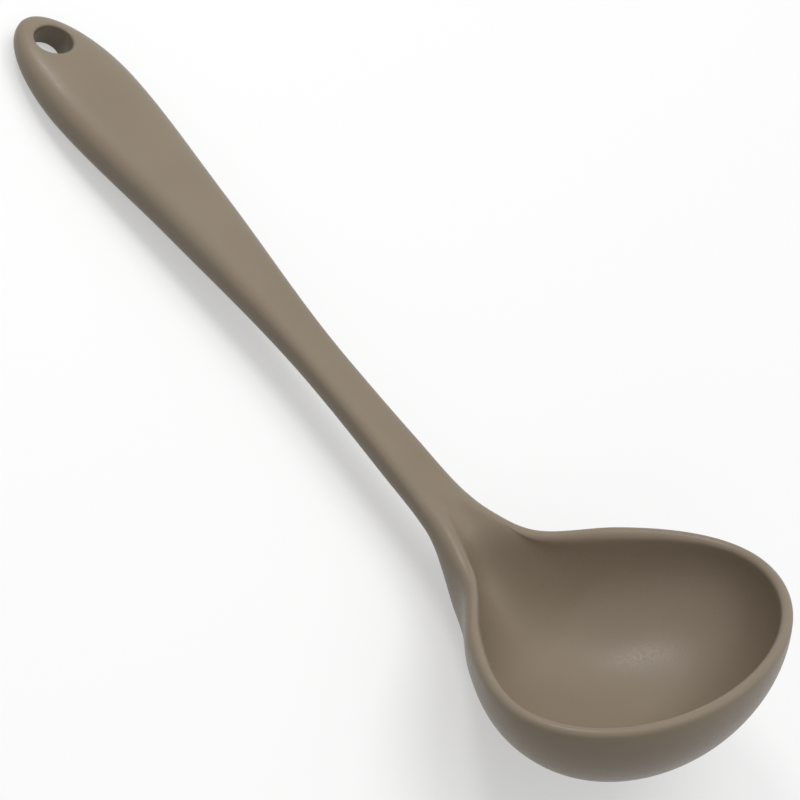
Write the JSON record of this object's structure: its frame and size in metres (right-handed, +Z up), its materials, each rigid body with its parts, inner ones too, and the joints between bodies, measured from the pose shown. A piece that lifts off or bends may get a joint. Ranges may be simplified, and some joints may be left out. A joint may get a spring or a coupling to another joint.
{
  "type": "soup ladle",
  "caption": "Soup ladle with a pear-shaped round bowl, a soft matte skin over a stiff core, and a handle that widens to a rounded tip with a hanging hole.",
  "frame": {"origin": "bottom centre of the whole ladle's box, on the surface it lies on", "axes": "the ladle lies on its bowl and its handle tip: +X from the hanging hole towards the bowl, +Z up, and Y across, with the ladle the same on both sides of Y = 0"},
  "size_m": [0.27, 0.096, 0.0682],
  "materials": {
    "silicone": "matte moulded silicone, taupe",
    "nylon": "moulded glass-filled nylon, dark grey",
    "stainless_steel": "stamped stainless steel, plain mill finish"
  },
  "bodies": {
    "root": {"silicone_coat": "silicone", "bowl_core": "nylon", "handle_bar": "stainless_steel"}
  },
  "joints": []
}
